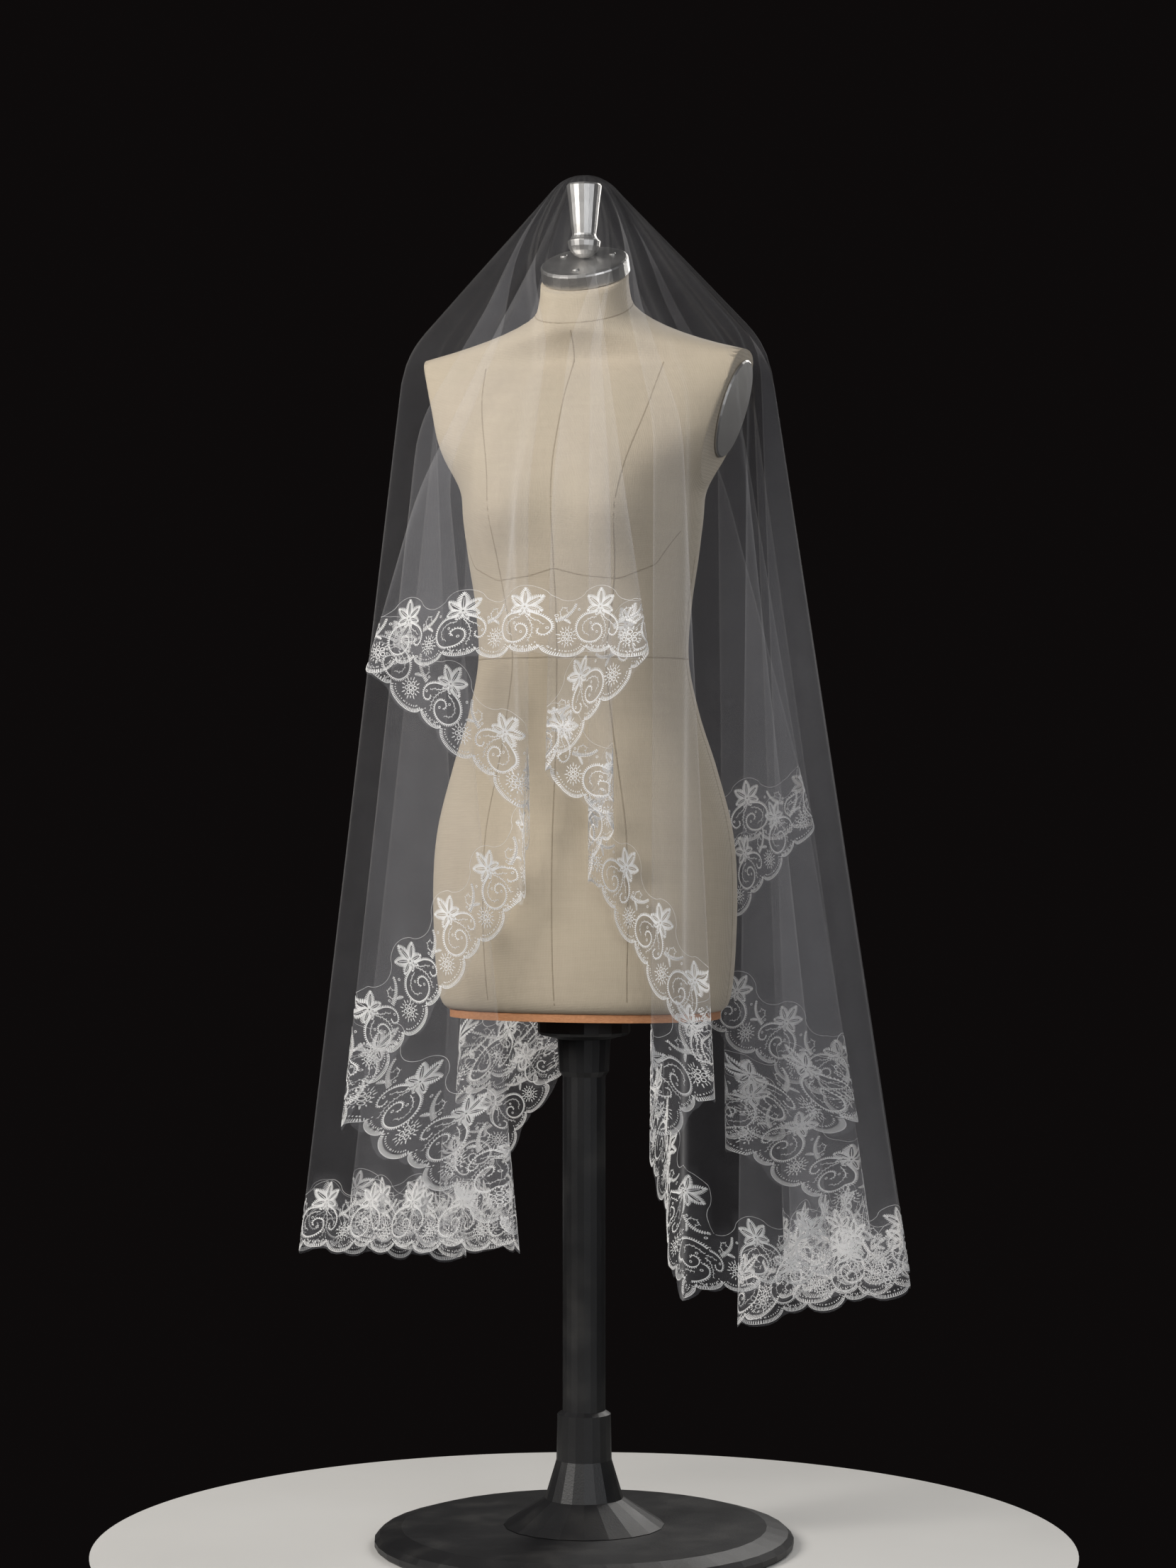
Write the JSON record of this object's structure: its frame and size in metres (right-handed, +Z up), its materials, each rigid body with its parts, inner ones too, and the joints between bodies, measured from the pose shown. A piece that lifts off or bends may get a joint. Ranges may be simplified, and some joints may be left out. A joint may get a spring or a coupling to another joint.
{
  "type": "bridal veil on a dress form",
  "caption": "Rectangular lace-edged tulle veil laid over the neck knob of a limbless dress form on a round-based stand.",
  "frame": {"origin": "centre of the base's underside, on the floor under the pole", "axes": "+Z up along the pole, -Y the way the form faces, +X the form's left side, which is the viewer's right"},
  "size_m": [0.701, 0.528, 1.535],
  "materials": {
    "tulle": "fine translucent net",
    "lace": "silky embroidered lace on net",
    "linen": "matt plain weave",
    "brushed_metal": "brushed",
    "board": "matt edge of the bottom board",
    "black_metal": "satin black"
  },
  "bodies": {
    "root": {"tulle": "tulle", "lace_front": "lace", "lace_right": "lace", "lace_back": "lace", "lace_left": "lace", "form_torso": "linen", "neck_knob": "brushed_metal", "neck_plate": "brushed_metal", "plate_screw_1": "brushed_metal", "plate_screw_2": "brushed_metal", "plate_screw_3": "brushed_metal", "arm_plate_left": "brushed_metal", "arm_plate_right": "brushed_metal", "bottom_board": "board", "pole": "black_metal", "base": "black_metal"}
  },
  "joints": []
}
